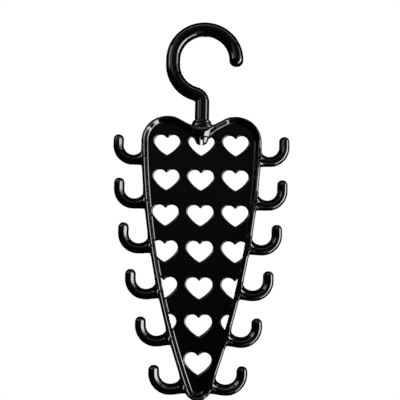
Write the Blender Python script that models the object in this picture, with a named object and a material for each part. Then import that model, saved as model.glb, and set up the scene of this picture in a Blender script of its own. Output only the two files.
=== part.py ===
"""A multi-hook hanger: a moulded heart-lattice rack with twelve side hooks, turning on a rail hook.

Units are metres and +Z is up. X runs across the rack and Y through its thickness, with the front at -Y.
The origin is on the stem's axis, level with the inside of the loop's top, which rests on the rail.
"""

import math

import bmesh
import bpy
from mathutils import Vector

MM = 0.001

# Rail hook: a round rod bent like a question mark
ROD_DIAMETER = 12.8 * MM
LOOP_RADIUS = 28.2 * MM  # to the middle of the rod
LOOP_OFFSET = 1.7 * MM  # the loop's centre stands this far off the stem
LOOP_STRETCH = 4.3 * MM  # straight length between the loop's upper and lower arcs
NECK_RADIUS = 8.0 * MM  # the bend from the loop back onto the stem
STEM_LENGTH = 17.4 * MM

# Swivel: the rail hook's shoulder, spigot and split barb, and the boss that they turn in
SWIVEL_CLEARANCE = 0.3 * MM  # between every pair of faces that turn past each other
SHOULDER_DIAMETER = 16.9 * MM
SHOULDER_HEIGHT = 3.0 * MM
SHOULDER_ROUND = 1.9 * MM
SPIGOT_DIAMETER = 9.8 * MM
BARB_DIAMETER = 12.6 * MM
BARB_LENGTH = 6.2 * MM
BARB_SHARES = ((1.0, 1.0), (0.95, 0.8), (0.78, 0.36), (0.5, 0.08), (0.3, 0.0))  # (radius, height)
SLOT_WIDTH = 1.7 * MM
SLOT_LENGTH = 14.0 * MM
BOSS_DIAMETER = 17.1 * MM
BOSS_LENGTH = 12.1 * MM
BOSS_CHAMFER = 0.8 * MM
BARB_CLEARANCE = 0.8 * MM

# Rack outline: two lobes, long side arcs and a rounded tip
LOBE_RADIUS = 22.8 * MM
LOBE_SPREAD = 29.9 * MM  # lobe centres, out from the middle
LOBE_DROP = 15.6 * MM  # lobe centres, below the boss's top
ARM_SLOPE = math.radians(29)  # the outline's rise from the boss to the lobes
SIDE_RADIUS = 660.0 * MM
SIDE_START = math.radians(-2)  # where the lobes run into the side arcs
TIP_RADIUS = 11.0 * MM
NOTCH_RADIUS = 3.0 * MM

# Rim and panel
RIM_WIDTH = 5.2 * MM
RIM_DEPTH = 11.6 * MM
RIM_CREST = 1.75 * MM  # the crest, in from the outer edge
# Corners of the rim's section as (in-plane, depth): from its outer edge to the crest, and from there inwards
RIM_OUTER_SHARES = ((0.0, 0.5), (0.2, 0.79), (0.54, 0.95))
RIM_INNER_SHARES = ((0.2, 0.965), (0.39, 0.87), (1.0, 0.41))
PANEL_THICKNESS = 3.6 * MM

# Heart-shaped holes in three columns
COLUMN_PITCH = 30.0 * MM
ROW_PITCH = 30.9 * MM
ROW_COUNT = 7
FIRST_ROW_DROP = 15.7 * MM  # the first row's lobe centres, below the boss's top
HEART_LOBE_RADIUS = 5.7 * MM
HEART_LOBE_SPREAD = 5.4 * MM
HEART_DROP = 12.1 * MM  # a heart's point, below its lobe centres
HEART_SIDE_RADIUS = 27.0 * MM
HEART_CUSP_WIDTH = 1.2 * MM  # the blunt point between the lobes
HEART_BEVEL = 1.3 * MM
HEART_LAND = 1.0 * MM  # the straight wall between the front and back bevels

# Side hooks: a U of rod on a flared root
HOOK_COUNT = 6  # on each side
HOOK_PITCH = 38.5 * MM
FIRST_HOOK_DROP = 19.5 * MM  # the first hook's arc centre, below the boss's top
HOOK_RADIUS = 13.2 * MM  # to the middle of the rod
HOOK_ROD_WIDTH = 9.1 * MM
HOOK_ROD_DEPTH = 9.1 * MM
HOOK_STANDOFF = 7.5 * MM  # arc centre, out from the rim's outer edge
TOP_HOOK_PULL = 0.8 * MM  # the top pair stands closer to the rim by this much
HOOK_RISE = 4.9 * MM  # straight length above the arc's centre
HOOK_RISE_SHARES = (1.0, 1.0, 0.92, 0.7, 0.5, 0.36)
ROOT_LIFT = 1.7 * MM  # how much a root's underside rises towards the rim
ROOT_LIFT_SHARES = (0.0, 0.1, 0.4, 0.8, 1.0, 1.0)
ROOT_REACH_SHARES = (1.0, 0.8, 0.55, 0.28)  # stations of a root, from the rim's crest outwards
ROOT_STEEPEST = math.radians(80)  # how far round the U's inner arc the root follows it
# The inner half of the rod's section slopes to a thin edge: (in-plane, depth) shares of the half sizes
INNER_SLOPE_SHARES = ((0.66, 0.55), (0.96, 0.2))

CUT_OVERRUN = 1.0 * MM

# How finely curves are divided
ROD_SIDES = 16
LOOP_STEPS = 16
LOWER_STEPS = 6
NECK_STEPS = 5
CAP_STEPS = 3
CAP_END_SHARE = 0.5  # a round end stops this share of a step short of its pole
SHOULDER_STEPS = 3
TURNED_SIDES = 28
LOBE_STEPS = 13
SIDE_STEPS = 14
TIP_STEPS = 5
NOTCH_STEPS = 2
HEART_LOBE_STEPS = 6
HEART_SIDE_STEPS = 4
HOOK_ARC_STEPS = 7
HOOK_HALF_STEPS = 6

# Heights worked out from the sizes above
LOOP_CENTRE_Z = -(LOOP_RADIUS - ROD_DIAMETER / 2)
LOWER_CENTRE_Z = LOOP_CENTRE_Z - LOOP_STRETCH
NECK_CENTRE_Z = LOWER_CENTRE_Z - math.sqrt(
    (LOOP_RADIUS + NECK_RADIUS) ** 2 - (NECK_RADIUS + LOOP_OFFSET) ** 2
)
SHOULDER_TOP_Z = NECK_CENTRE_Z - STEM_LENGTH
SHOULDER_BASE_Z = SHOULDER_TOP_Z - SHOULDER_HEIGHT
BOSS_TOP_Z = SHOULDER_BASE_Z - SWIVEL_CLEARANCE
BOSS_BASE_Z = BOSS_TOP_Z - BOSS_LENGTH
BARB_TOP_Z = BOSS_BASE_Z - SWIVEL_CLEARANCE
BARB_TIP_Z = BARB_TOP_Z - BARB_LENGTH

RIGHT_ANGLE = math.radians(90)
SHARP_ANGLE = math.radians(40)  # edges steeper than this stay crisp in the shading

# Finishes: black polished plastic, a little duller on the big moulding
GLOSS_BLACK = (0.012, 0.012, 0.013)
HOOK_ROUGHNESS = 0.22
RACK_ROUGHNESS = 0.28


def start_clean():
    """Empties the scene, so that the script can be run again."""
    for found in list(bpy.data.objects):
        bpy.data.objects.remove(found, do_unlink=True)


def gloss_plastic(name, colour, roughness):
    """A material for polished injection-moulded plastic."""
    material = bpy.data.materials.new(name)
    material.use_nodes = True
    shader = material.node_tree.nodes["Principled BSDF"]
    shader.inputs["Base Color"].default_value = (*colour, 1.0)
    shader.inputs["Roughness"].default_value = roughness
    shader.inputs["Metallic"].default_value = 0.0
    material.diffuse_color = (*colour, 1.0)
    return material


def make_object(name, fill, material=None):
    """Makes a named object from a function that fills a bmesh; without a material it is a guide."""
    mesh = bpy.data.meshes.new(name)
    form = bmesh.new()
    fill(form)
    bmesh.ops.recalc_face_normals(form, faces=form.faces)
    form.to_mesh(mesh)
    form.free()
    mesh.shade_smooth()
    mesh.set_sharp_from_angle(angle=SHARP_ANGLE)
    made = bpy.data.objects.new(name, mesh)
    bpy.context.scene.collection.objects.link(made)
    if material:
        mesh.materials.append(material)
    else:
        made.hide_render = True
        made.display_type = "WIRE"
    return made


def combine(target, operation, tool):
    """Adds a Boolean modifier with the manifold solver, which keeps every solid closed."""
    step = target.modifiers.new(f"{operation.lower()} {tool.name}", "BOOLEAN")
    step.object = tool
    step.operation = operation
    step.solver = "MANIFOLD"


def loft(form, rings, closed=False):
    """Skins a list of rings of equally many points; an open loft gets flat ends."""
    rows = [[form.verts.new(point) for point in ring] for ring in rings]
    spans = len(rows) if closed else len(rows) - 1
    for row in range(spans):
        lower, upper = rows[row], rows[(row + 1) % len(rows)]
        for side in range(len(lower)):
            after = (side + 1) % len(lower)
            form.faces.new((lower[side], lower[after], upper[after], upper[side]))
    if not closed:
        form.faces.new(rows[0])
        form.faces.new(rows[-1])


def turned(form, profile):
    """Revolves a profile of (radius, height) pairs about the Z axis and closes both ends flat."""
    rings = []
    for radius, height in profile:
        angles = [math.tau * side / TURNED_SIDES for side in range(TURNED_SIDES)]
        rings.append([Vector((radius * math.cos(a), radius * math.sin(a), height)) for a in angles])
    loft(form, rings)


def arc(centre, radius, start, end, steps):
    """Points (x, z) along an arc from one angle to another, both ends included."""
    angles = [start + (end - start) * step / steps for step in range(steps + 1)]
    return [(centre[0] + radius * math.cos(a), centre[1] + radius * math.sin(a)) for a in angles]


def both_sides(right_half):
    """Closes an outline whose right half runs from its top middle point to its bottom middle point."""
    return right_half + [(-x, z) for x, z in reversed(right_half[1:-1])]


def rod_rings(path, section, cap):
    """Rings of a section carried along a path of (x, z, heading), with the far end rounded off.

    The section is a list of (aside, depth) pairs, with aside measured to the left of the heading.
    """
    end_x, end_z, heading = path[-1]
    stations = [(x, z, towards, 1.0) for x, z, towards in path]
    for step in range(1, CAP_STEPS + 1):
        turn = RIGHT_ANGLE * step / (CAP_STEPS + CAP_END_SHARE)
        forward = cap * math.sin(turn)
        cap_x, cap_z = end_x + math.cos(heading) * forward, end_z + math.sin(heading) * forward
        stations.append((cap_x, cap_z, heading, math.cos(turn)))
    rings = []
    for x, z, towards, scale in stations:
        aside_x, aside_z = -math.sin(towards) * scale, math.cos(towards) * scale
        rings.append([Vector((x + aside_x * a, d * scale, z + aside_z * a)) for a, d in section])
    return rings


def arc_path(centre, radius, start, end, steps):
    """An arc as a path of (x, z, heading); the path turns left where the end angle is the larger."""
    ahead = math.copysign(RIGHT_ANGLE, end - start)
    angles = [start + (end - start) * step / steps for step in range(steps + 1)]
    points = arc(centre, radius, start, end, steps)
    return [(x, z, angle + ahead) for (x, z), angle in zip(points, angles)]


def round_section(width, depth, sides):
    """A round or oval section of a rod as (aside, depth) pairs."""
    angles = [math.tau * (side + 0.5) / sides for side in range(sides)]
    return [(width / 2 * math.cos(a), depth / 2 * math.sin(a)) for a in angles]


def fill_rail_hook(form):
    """The bent rod from inside the shoulder up the stem, round the loop and out to its round end."""
    upper = (LOOP_OFFSET, LOOP_CENTRE_Z)
    lower = (LOOP_OFFSET, LOWER_CENTRE_Z)
    neck = (-NECK_RADIUS, NECK_CENTRE_Z)
    joining = math.atan2(LOWER_CENTRE_Z - NECK_CENTRE_Z, LOOP_OFFSET + NECK_RADIUS)
    straight_up = RIGHT_ANGLE
    path = [(0.0, SHOULDER_TOP_Z - SHOULDER_HEIGHT / 2, straight_up)]
    path += arc_path(neck, NECK_RADIUS, 0.0, joining, NECK_STEPS)
    path += arc_path(lower, LOOP_RADIUS, joining - math.pi, -math.pi, LOWER_STEPS)[1:]
    path += arc_path(upper, LOOP_RADIUS, math.pi, 0.0, LOOP_STEPS)
    section = round_section(ROD_DIAMETER, ROD_DIAMETER, ROD_SIDES)
    loft(form, rod_rings(path, section, ROD_DIAMETER / 2))


def fill_shoulder_and_spigot(form):
    """The turned lower end: a shoulder, a spigot and an arrow-headed barb."""
    spigot = SPIGOT_DIAMETER / 2
    shoulder = SHOULDER_DIAMETER / 2
    profile = [
        (BARB_DIAMETER / 2 * radius, BARB_TIP_Z + BARB_LENGTH * height)
        for radius, height in reversed(BARB_SHARES)
    ]
    profile += [
        (spigot, BARB_TOP_Z),
        (spigot, SHOULDER_BASE_Z),
        (shoulder, SHOULDER_BASE_Z),
    ]
    corner = (shoulder - SHOULDER_ROUND, SHOULDER_TOP_Z - SHOULDER_ROUND)
    profile += arc(corner, SHOULDER_ROUND, 0.0, RIGHT_ANGLE, SHOULDER_STEPS)
    turned(form, profile)


def fill_slot(form):
    """The slot that lets the two prongs of the barb spring together."""
    half = SLOT_WIDTH / 2
    deep = BARB_DIAMETER / 2 + CUT_OVERRUN
    rings = []
    for height in (BARB_TIP_Z - CUT_OVERRUN, BARB_TIP_Z + SLOT_LENGTH):
        corners = ((-half, -deep), (half, -deep), (half, deep), (-half, deep))
        rings.append([Vector((x, y, height)) for x, y in corners])
    loft(form, rings)


def lobe_centre():
    """The middle of the right-hand lobe."""
    return LOBE_SPREAD, BOSS_TOP_Z - LOBE_DROP


def side_centre():
    """The centre of the right-hand side arc, which runs on smoothly from the lobe."""
    lobe_x, lobe_z = lobe_centre()
    reach = SIDE_RADIUS - LOBE_RADIUS
    return lobe_x - reach * math.cos(SIDE_START), lobe_z - reach * math.sin(SIDE_START)


def rack_outline():
    """The rack's outer edge, clockwise from the notch between the lobes."""
    lobe = lobe_centre()
    side = side_centre()
    arm_angle = RIGHT_ANGLE + ARM_SLOPE
    arm_x = lobe[0] + LOBE_RADIUS * math.cos(arm_angle)
    arm_z = lobe[1] + LOBE_RADIUS * math.sin(arm_angle)
    notch = (0.0, arm_z - arm_x * math.tan(ARM_SLOPE) + NOTCH_RADIUS / math.cos(ARM_SLOPE))
    reach = SIDE_RADIUS - TIP_RADIUS
    tip = (0.0, side[1] - math.sqrt(reach**2 - side[0] ** 2))
    side_end = math.atan2(tip[1] - side[1], -side[0])
    half = arc(notch, NOTCH_RADIUS, -RIGHT_ANGLE, -RIGHT_ANGLE + ARM_SLOPE, NOTCH_STEPS)
    half += arc(lobe, LOBE_RADIUS, arm_angle, SIDE_START, LOBE_STEPS)
    half += arc(side, SIDE_RADIUS, SIDE_START, side_end, SIDE_STEPS)[1:]
    half += arc(tip, TIP_RADIUS, side_end, -RIGHT_ANGLE, TIP_STEPS)[1:]
    return both_sides(half)


def rack_half_width(height):
    """Half of the rack's outer width at a height along its side arcs."""
    side_x, side_z = side_centre()
    return side_x + math.sqrt(SIDE_RADIUS**2 - (height - side_z) ** 2)


def inset(outline, distance):
    """Moves a clockwise outline inwards by a distance and keeps its number of points."""
    moved = []
    for index, (x, z) in enumerate(outline):
        before_x, before_z = outline[index - 1]
        after_x, after_z = outline[(index + 1) % len(outline)]
        first = Vector((z - before_z, before_x - x)).normalized()
        second = Vector((after_z - z, x - after_x)).normalized()
        inwards = (first + second).normalized()
        reach = distance / inwards.dot(first)
        moved.append((x + inwards.x * reach, z + inwards.y * reach))
    return moved


def rim_section():
    """The rim's section as (in from the outer edge, depth): steep outside, with a long flank inside."""
    half = RIM_DEPTH / 2
    inner = RIM_WIDTH - RIM_CREST
    front = [(RIM_CREST * across, half * depth) for across, depth in RIM_OUTER_SHARES]
    front.append((RIM_CREST, half))
    front += [(RIM_CREST + inner * across, half * depth) for across, depth in RIM_INNER_SHARES]
    return front + [(across, -depth) for across, depth in reversed(front)]


def fill_rim(form):
    """Sweeps the rim's section round the outline."""
    outline = rack_outline()
    lines = [(inset(outline, across), depth) for across, depth in rim_section()]
    rings = []
    for index in range(len(outline)):
        rings.append([Vector((line[index][0], depth, line[index][1])) for line, depth in lines])
    loft(form, rings, closed=True)


def fill_panel(form):
    """A flat plate whose edge is buried in the rim."""
    outline = inset(rack_outline(), RIM_CREST)
    rings = []
    for depth in (-PANEL_THICKNESS / 2, PANEL_THICKNESS / 2):
        rings.append([Vector((x, depth, z)) for x, z in outline])
    loft(form, rings)


def heart_side_centre():
    """The centre of a heart's long side arc, which leaves its lobe smoothly and ends at its point."""
    lobe = Vector((HEART_LOBE_SPREAD, 0.0))
    point = Vector((0.0, -HEART_DROP))
    from_lobe = HEART_SIDE_RADIUS - HEART_LOBE_RADIUS
    apart = (point - lobe).length
    along = (apart**2 + from_lobe**2 - HEART_SIDE_RADIUS**2) / (2 * apart)
    aside = math.sqrt(from_lobe**2 - along**2)
    ahead = (point - lobe) / apart
    return lobe + ahead * along + Vector((ahead.y, -ahead.x)) * aside


def heart_outline(grow):
    """A heart about the middle of its two lobes' centres, grown outwards by a distance."""
    lobe = Vector((HEART_LOBE_SPREAD, 0.0))
    side = heart_side_centre()
    lobe_radius = HEART_LOBE_RADIUS + grow
    side_radius = HEART_SIDE_RADIUS + grow
    cusp = math.acos((HEART_CUSP_WIDTH / 2 - HEART_LOBE_SPREAD) / lobe_radius)
    leave = math.atan2(lobe.y - side.y, lobe.x - side.x)
    point = -math.acos(-side.x / side_radius)
    half = [(0.0, lobe_radius * math.sin(cusp))]
    half += arc(lobe, lobe_radius, cusp, leave, HEART_LOBE_STEPS)
    half += arc(side, side_radius, leave, point, HEART_SIDE_STEPS)[1:]
    return both_sides(half)


def heart_places():
    """The middles of the hearts that open clear of the rim, row by row."""
    places = []
    for row in range(ROW_COUNT):
        height = BOSS_TOP_Z - FIRST_ROW_DROP - ROW_PITCH * row
        room = rack_half_width(height) - RIM_WIDTH
        for column in (-1, 0, 1):
            nearest = abs(column) * COLUMN_PITCH - HEART_LOBE_SPREAD - HEART_LOBE_RADIUS
            if room > nearest + HEART_LOBE_RADIUS / 2:
                places.append((column * COLUMN_PITCH, height))
    return places


def fill_hearts(form):
    """Cutters for the hearts: bevelled in from the front and the back to a narrow land."""
    half = PANEL_THICKNESS / 2
    land = HEART_LAND / 2
    over = half + CUT_OVERRUN
    wide = HEART_BEVEL * (over - land) / (half - land)
    layers = [(-over, wide), (-land, 0.0), (land, 0.0), (over, wide)]
    for middle_x, middle_z in heart_places():
        rings = []
        for depth, grow in layers:
            rings.append([Vector((middle_x + x, depth, middle_z + z)) for x, z in heart_outline(grow)])
        loft(form, rings)


def hook_section():
    """A side hook's section as (aside, depth): round outside, sloping to a thin edge inside the U."""
    half_width, half_depth = HOOK_ROD_WIDTH / 2, HOOK_ROD_DEPTH / 2
    section = []
    for step in range(HOOK_HALF_STEPS + 1):
        angle = RIGHT_ANGLE + math.pi * step / HOOK_HALF_STEPS
        section.append((half_width * math.cos(angle), half_depth * math.sin(angle)))
    slope = [(half_width * aside, half_depth * depth) for aside, depth in INNER_SLOPE_SHARES]
    section += [(aside, -depth) for aside, depth in slope]
    section += [(aside, depth) for aside, depth in reversed(slope)]
    return section


def hook_place(level):
    """The arc centre of the right-hand hook at a level, counted from the top."""
    height = BOSS_TOP_Z - FIRST_HOOK_DROP - HOOK_PITCH * level
    standoff = HOOK_STANDOFF - (TOP_HOOK_PULL if level == 0 else 0)
    return rack_half_width(height) + standoff, height


def root_rings(level):
    """Rings of a hook's root, which flares from the bottom of the U and ends along the rim's crest."""
    centre_x, centre_z = hook_place(level)
    inner = HOOK_RADIUS - HOOK_ROD_WIDTH / 2
    underside = centre_z - HOOK_RADIUS - HOOK_ROD_WIDTH / 2
    lift = ROOT_LIFT * ROOT_LIFT_SHARES[level]
    rings = []
    for share in ROOT_REACH_SHARES:
        back = (centre_x - rack_half_width(centre_z) + RIM_CREST) * share
        upper = centre_z - math.sqrt(inner**2 - min(back, inner * math.sin(ROOT_STEEPEST)) ** 2)
        lower = underside + lift * math.sin(RIGHT_ANGLE * share) ** 2
        middle, stretch = (upper + lower) / 2, (upper - lower) / HOOK_ROD_WIDTH
        ring = []
        for aside, depth in hook_section():
            height = middle + aside * stretch
            crest = rack_half_width(height) - RIM_CREST
            ring.append(Vector((centre_x + (crest - centre_x) * share, depth, height)))
        rings.append(ring)
    return rings


def hook_rings(level):
    """All rings of a right-hand hook: its root, its U, the straight rise and the round end."""
    centre_x, centre_z = hook_place(level)
    path = arc_path((centre_x, centre_z), HOOK_RADIUS, -RIGHT_ANGLE, 0.0, HOOK_ARC_STEPS)
    end_x, end_z, heading = path[-1]
    path.append((end_x, end_z + HOOK_RISE * HOOK_RISE_SHARES[level], heading))
    return root_rings(level) + rod_rings(path, hook_section(), HOOK_ROD_WIDTH / 2)


def fill_side_hooks(form):
    """The hooks of both sides, level by level."""
    for level in range(HOOK_COUNT):
        rings = hook_rings(level)
        loft(form, rings)
        loft(form, [[Vector((-point.x, point.y, point.z)) for point in ring] for ring in rings])


def fill_boss(form):
    """The upright boss in the notch, with its edges broken."""
    radius = BOSS_DIAMETER / 2
    profile = [
        (radius - BOSS_CHAMFER, BOSS_BASE_Z),
        (radius, BOSS_BASE_Z + BOSS_CHAMFER),
        (radius, BOSS_TOP_Z - BOSS_CHAMFER),
        (radius - BOSS_CHAMFER, BOSS_TOP_Z),
    ]
    turned(form, profile)


def fill_bore(form):
    """The boss's bore, right through it."""
    radius = SPIGOT_DIAMETER / 2 + SWIVEL_CLEARANCE
    turned(form, [(radius, BOSS_BASE_Z - CUT_OVERRUN), (radius, BOSS_TOP_Z + CUT_OVERRUN)])


def fill_barb_room(form):
    """The room under the boss in which the barb turns, cut out of the panel."""
    radius = BARB_DIAMETER / 2 + BARB_CLEARANCE
    turned(form, [(radius, BARB_TIP_Z - CUT_OVERRUN), (radius, BOSS_BASE_Z + CUT_OVERRUN)])


def build_rail_hook(material):
    """The rail hook: the bent rod and its turned lower end in one moulding, split by the slot."""
    hook = make_object("rail_hook", fill_rail_hook, material)
    combine(hook, "UNION", make_object("shoulder and spigot", fill_shoulder_and_spigot))
    combine(hook, "DIFFERENCE", make_object("slot", fill_slot))
    return hook


def build_rack(material):
    """The rack: the pierced panel, its rim, the side hooks and the boss in one moulding."""
    rack = make_object("hook_rack", fill_panel, material)
    combine(rack, "DIFFERENCE", make_object("hearts", fill_hearts))
    combine(rack, "DIFFERENCE", make_object("barb room", fill_barb_room))
    combine(rack, "UNION", make_object("rim", fill_rim))
    combine(rack, "UNION", make_object("side hooks", fill_side_hooks))
    combine(rack, "UNION", make_object("boss", fill_boss))
    combine(rack, "DIFFERENCE", make_object("bore", fill_bore))
    return rack


def main():
    start_clean()
    build_rail_hook(gloss_plastic("polished hook plastic", GLOSS_BLACK, HOOK_ROUGHNESS))
    build_rack(gloss_plastic("moulded rack plastic", GLOSS_BLACK, RACK_ROUGHNESS))


main()
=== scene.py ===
import math

import bmesh
import bpy
from mathutils import Matrix, Vector
from mathutils.bvhtree import BVHTree


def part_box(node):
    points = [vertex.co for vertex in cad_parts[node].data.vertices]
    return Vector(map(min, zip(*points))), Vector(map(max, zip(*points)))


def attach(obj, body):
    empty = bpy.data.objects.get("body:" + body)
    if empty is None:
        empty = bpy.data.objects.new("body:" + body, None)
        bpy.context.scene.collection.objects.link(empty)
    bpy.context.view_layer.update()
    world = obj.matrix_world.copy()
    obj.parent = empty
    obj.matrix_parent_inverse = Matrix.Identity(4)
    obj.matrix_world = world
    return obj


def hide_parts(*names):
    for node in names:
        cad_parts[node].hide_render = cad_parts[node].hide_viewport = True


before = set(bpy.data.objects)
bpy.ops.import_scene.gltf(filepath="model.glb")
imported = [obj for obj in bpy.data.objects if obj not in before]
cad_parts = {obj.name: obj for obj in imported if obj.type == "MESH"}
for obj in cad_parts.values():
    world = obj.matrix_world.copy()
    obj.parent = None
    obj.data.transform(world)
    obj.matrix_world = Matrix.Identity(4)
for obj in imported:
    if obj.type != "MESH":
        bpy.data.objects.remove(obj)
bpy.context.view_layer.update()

# The rack's plastic.
# Black polystyrene, shot into a polished mould. Its gloss is nearly even, with a faint flow of
# the melt in it and the light scuffs that handling leaves.
MM = 0.001
PLASTIC_BLACK = (0.0013, 0.0013, 0.0014, 1.0)
SCUFF_GREY = (0.0026, 0.0026, 0.0028, 1.0)
PLASTIC_ROUGHNESS = 0.09
SCUFF_DULLING = 1.8  # a scuff's roughness over the clean surface's
PLASTIC_IOR = 1.5
WAVE_STRENGTH = 0.12
WAVE_HEIGHT = 0.2 * MM
FLOW_STRETCH = (1.0, 1.0, 0.35)
SCRATCH_TURN = (0.3, 0.7, 0.5)
SCRATCH_STRETCH = (1.0, 0.3, 3.5)
SCUFF_START = 0.55
SCUFF_FULL = 0.78
RACK_FLOW = 90.0
RACK_SCUFFS = 260.0


def add_node(tree, kind, **settings):
    """Adds a node and gives its attributes or its inputs' values by name."""
    made = tree.nodes.new(kind)
    for name, value in settings.items():
        if name in made.inputs:
            made.inputs[name].default_value = value
        else:
            setattr(made, name, value)
    return made


def polished_surface_group():
    """A shader group: colour, roughness and height of a polished moulding that has been handled."""
    group = bpy.data.node_groups.new("polished moulding", "ShaderNodeTree")
    for name, kind in (
        ("Clean Colour", "NodeSocketColor"),
        ("Scuff Colour", "NodeSocketColor"),
        ("Clean Roughness", "NodeSocketFloat"),
        ("Scuff Roughness", "NodeSocketFloat"),
        ("Flow Size", "NodeSocketFloat"),
        ("Scuff Size", "NodeSocketFloat"),
    ):
        group.interface.new_socket(name, in_out="INPUT", socket_type=kind)
    for name, kind in (
        ("Colour", "NodeSocketColor"),
        ("Roughness", "NodeSocketFloat"),
        ("Height", "NodeSocketFloat"),
    ):
        group.interface.new_socket(name, in_out="OUTPUT", socket_type=kind)
    given = group.nodes.new("NodeGroupInput")
    result = group.nodes.new("NodeGroupOutput")
    place = add_node(group, "ShaderNodeTexCoord")
    link = group.links.new

    stretch = add_node(group, "ShaderNodeMapping", Scale=FLOW_STRETCH)
    flow = add_node(group, "ShaderNodeTexNoise", Detail=2.0, Roughness=0.4)
    link(place.outputs["Object"], stretch.inputs["Vector"])
    link(stretch.outputs["Vector"], flow.inputs["Vector"])
    link(given.outputs["Flow Size"], flow.inputs["Scale"])

    turn = add_node(group, "ShaderNodeMapping", Rotation=SCRATCH_TURN, Scale=SCRATCH_STRETCH)
    scratch = add_node(group, "ShaderNodeTexNoise", Detail=4.0, Roughness=0.75)
    link(place.outputs["Object"], turn.inputs["Vector"])
    link(turn.outputs["Vector"], scratch.inputs["Vector"])
    link(given.outputs["Scuff Size"], scratch.inputs["Scale"])
    scuffed = add_node(group, "ShaderNodeMapRange", **{"From Min": SCUFF_START, "From Max": SCUFF_FULL})
    link(scratch.outputs["Fac"], scuffed.inputs["Value"])

    tint = add_node(group, "ShaderNodeMix", data_type="RGBA")
    link(scuffed.outputs["Result"], tint.inputs["Factor"])
    link(given.outputs["Clean Colour"], tint.inputs["A"])
    link(given.outputs["Scuff Colour"], tint.inputs["B"])
    link(tint.outputs["Result"], result.inputs["Colour"])

    dull = add_node(group, "ShaderNodeMix", data_type="FLOAT")
    link(scuffed.outputs["Result"], dull.inputs["Factor"])
    link(given.outputs["Clean Roughness"], dull.inputs["A"])
    link(given.outputs["Scuff Roughness"], dull.inputs["B"])
    link(dull.outputs["Result"], result.inputs["Roughness"])
    link(flow.outputs["Fac"], result.inputs["Height"])
    return group


polished_surface = polished_surface_group()


def moulded_plastic(name, flow_size, scuff_size):
    """A polished black plastic whose roughness, colour and faint waves come from the shared group."""
    material = bpy.data.materials.new(name)
    material.use_nodes = True
    tree = material.node_tree
    shader = tree.nodes["Principled BSDF"]
    surface = add_node(tree, "ShaderNodeGroup", node_tree=polished_surface)
    surface.inputs["Clean Colour"].default_value = PLASTIC_BLACK
    surface.inputs["Scuff Colour"].default_value = SCUFF_GREY
    surface.inputs["Clean Roughness"].default_value = PLASTIC_ROUGHNESS
    surface.inputs["Scuff Roughness"].default_value = PLASTIC_ROUGHNESS * SCUFF_DULLING
    surface.inputs["Flow Size"].default_value = flow_size
    surface.inputs["Scuff Size"].default_value = scuff_size
    waves = add_node(tree, "ShaderNodeBump", Strength=WAVE_STRENGTH, Distance=WAVE_HEIGHT)
    tree.links.new(surface.outputs["Colour"], shader.inputs["Base Color"])
    tree.links.new(surface.outputs["Roughness"], shader.inputs["Roughness"])
    tree.links.new(surface.outputs["Height"], waves.inputs["Height"])
    tree.links.new(waves.outputs["Normal"], shader.inputs["Normal"])
    shader.inputs["IOR"].default_value = PLASTIC_IOR
    return material


rack_plastic = moulded_plastic("rack plastic", RACK_FLOW, RACK_SCUFFS)

# The rack's rim.
# A ridge right round the panel, with a round crest between two narrow bevels, a steep flank and a
# fillet down to the panel. Geometry Nodes sweep its section along lobes, side arcs and tip.
BARB_LENGTH = 6.2 * MM
SWIVEL_CLEARANCE = 0.3 * MM
BOSS_LENGTH = 12.1 * MM
BARB_TIP_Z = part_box("rail_hook")[0].z  # the rail hook ends in the barb, below the boss
BARB_TOP_Z = BARB_TIP_Z + BARB_LENGTH
BOSS_BASE_Z = BARB_TOP_Z + SWIVEL_CLEARANCE
BOSS_TOP_Z = BOSS_BASE_Z + BOSS_LENGTH
LOBE_RADIUS = 22.8 * MM
LOBE_SPREAD = 29.9 * MM
LOBE_DROP = 15.6 * MM
ARM_SLOPE = math.radians(29)
SIDE_RADIUS = 660.0 * MM
SIDE_START = math.radians(-2)
TIP_RADIUS = 11.0 * MM
NOTCH_RADIUS = 3.0 * MM
RIGHT_ANGLE = math.radians(90)
RIM_HALF_DEPTH = 5.8 * MM
RIM_WIDTH = 5.2 * MM
CREST_IN = 2.2 * MM  # the crest, in from the outer edge
CREST_RADIUS = 0.6 * MM
OUTER_BEVEL = (math.radians(33), 0.5 * MM)  # slope and width
INNER_BEVEL = (math.radians(37), 0.3 * MM)
OUTER_TURN = math.radians(62)  # the steepest slope outside the crest
INNER_TURN = math.radians(48)  # the flank's slope
FILLET_RADIUS = 2.8 * MM
FILLET_END = math.radians(2)  # the fillet stops this far short of level
RIM_UNDERLAP = 1.0 * MM  # how far the section runs on inside the web
PANEL_HALF = 1.8 * MM
OUTLINE_STEP = 1.1 * MM
FILLET_STEP = 0.35 * MM
CREST_STEPS = 4
BREAK_STEPS = 3  # from a bevel to the flank
OUTER_STEPS = 6
BEVEL_SHARES = (0.2, 0.8, 1.0)  # rows close to both ends keep the bevel's shading flat
FLANK_SHARES = (0.15, 0.5, 0.85)
MERGE_DISTANCE = 0.001 * MM


def turn_in_steps(centre, radius, start, end, steps):
    """Points along an arc, both ends included, in a number of steps."""
    angles = [start + (end - start) * index / steps for index in range(steps + 1)]
    return [(centre[0] + radius * math.cos(a), centre[1] + radius * math.sin(a)) for a in angles]


def arc(centre, radius, start, end, step):
    """Points along an arc, both ends included, about a step apart."""
    steps = max(2, round(abs(end - start) * radius / step))
    return turn_in_steps(centre, radius, start, end, steps)


def between(first, last, shares):
    """Points at shares of the straight way from one point to another."""
    return [tuple(a + (b - a) * share for a, b in zip(first, last)) for share in shares]


def bend(start, corner, end, steps):
    """Points of a quadratic curve from start to end that leaves and arrives along the corner's sides."""
    points = []
    for index in range(steps + 1):
        t = index / steps
        weights = ((1 - t) ** 2, 2 * t * (1 - t), t**2)
        pulls = tuple(zip(weights, (start, corner, end)))
        points.append(tuple(sum(weight * pull[axis] for weight, pull in pulls) for axis in (0, 1)))
    return points


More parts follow.
